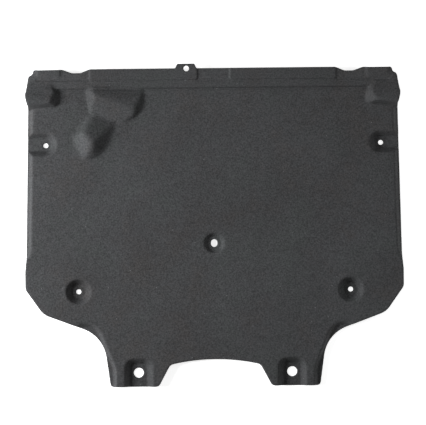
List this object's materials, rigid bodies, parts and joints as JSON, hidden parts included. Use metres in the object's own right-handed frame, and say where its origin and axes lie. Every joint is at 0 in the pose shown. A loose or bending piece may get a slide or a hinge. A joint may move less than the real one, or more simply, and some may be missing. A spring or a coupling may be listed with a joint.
{
  "type": "engine splash shield",
  "caption": "Moulded felt underbody panel with recessed screw seats, stepped front flange, corner bumps, a clearance bulge and two rear legs.",
  "frame": {"origin": "middle of the footprint at the plane of the screw seats' undersides", "axes": "+X across the car to the picture's right, +Y towards the front flange, +Z out of the road side, towards the viewer"},
  "size_m": [0.7812, 0.666, 0.0434],
  "materials": {
    "felt": "matte pressed needle felt, dark grey"
  },
  "bodies": {
    "root": {"shield_panel": "felt"}
  },
  "joints": []
}
